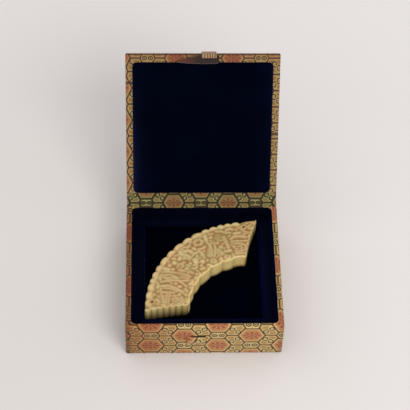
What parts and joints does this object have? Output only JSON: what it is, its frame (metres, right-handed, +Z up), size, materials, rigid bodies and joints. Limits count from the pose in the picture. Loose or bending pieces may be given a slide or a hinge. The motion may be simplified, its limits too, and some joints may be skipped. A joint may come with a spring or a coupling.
{
  "type": "jade pendant in hinged brocade case",
  "caption": "Carved jade arc pendant with corner cord holes, resting in the velvet well of a square brocade-covered case with a cloth-hinged flat lid and a toggle pin on a strap",
  "frame": {"origin": "centre of the case's underside", "axes": "+X to the viewer's right along the hinge, +Y from the front to the hinge, +Z up"},
  "size_m": [0.1, 0.1567, 0.1231],
  "materials": {
    "jade": "waxy polished carved stone, opaque",
    "brocade": "woven silk brocade, gold ground with flowers in hexagons",
    "velvet": "blue-black velvet",
    "board": "pressed board",
    "paper": "plain sheet",
    "foam": "soft packing",
    "pin": "dark horn, polished"
  },
  "bodies": {
    "case": {"base_floor_board": "board", "base_front_board": "board", "base_back_board": "board", "base_left_board": "board", "base_right_board": "board", "base_brocade": "brocade", "base_paper": "paper", "loop_band": "brocade", "lining_front": "velvet", "lining_back": "velvet", "lining_left": "velvet", "lining_right": "velvet", "ledge_front": "velvet", "ledge_back": "velvet", "ledge_left": "velvet", "ledge_right": "velvet", "well_block": "foam", "well_pad": "velvet", "hinge_cloth_base": "brocade"},
    "lid": {"lid_board": "board", "lid_brocade": "brocade", "lid_velvet_pad": "velvet", "hinge_cloth_lid": "brocade", "strap_tail": "brocade"},
    "strap": {"strap_loop": "brocade"},
    "pin": {"toggle_pin": "pin"},
    "jade": {"pendant": "jade"}
  },
  "joints": [
    {"name": "lid_hinge", "type": "hinge", "parent": "case", "child": "lid", "pos_m": [0, 0.0518, 0.0302], "axis": [1, 0, 0], "range_deg": [0, 118.1]},
    {"name": "strap_flex", "type": "hinge", "parent": "lid", "child": "strap", "pos_m": [0.0038, 0.1008, 0.12091], "axis": [1, 0, 0], "range_deg": [-90.5, 0]},
    {"name": "pin_swing", "type": "hinge", "parent": "strap", "child": "pin", "pos_m": [0.0038, 0.09756, 0.121], "axis": [1, 0, 0], "range_deg": [-90, 0]},
    {"name": "pendant_lift", "type": "slide", "parent": "case", "child": "jade", "axis": [0, 0, 1], "range_m": [0, 0.0025]}
  ],
  "couplings": [
    {"joint": "strap_flex", "follows": "lid_hinge", "ratio": -0.762}
  ]
}
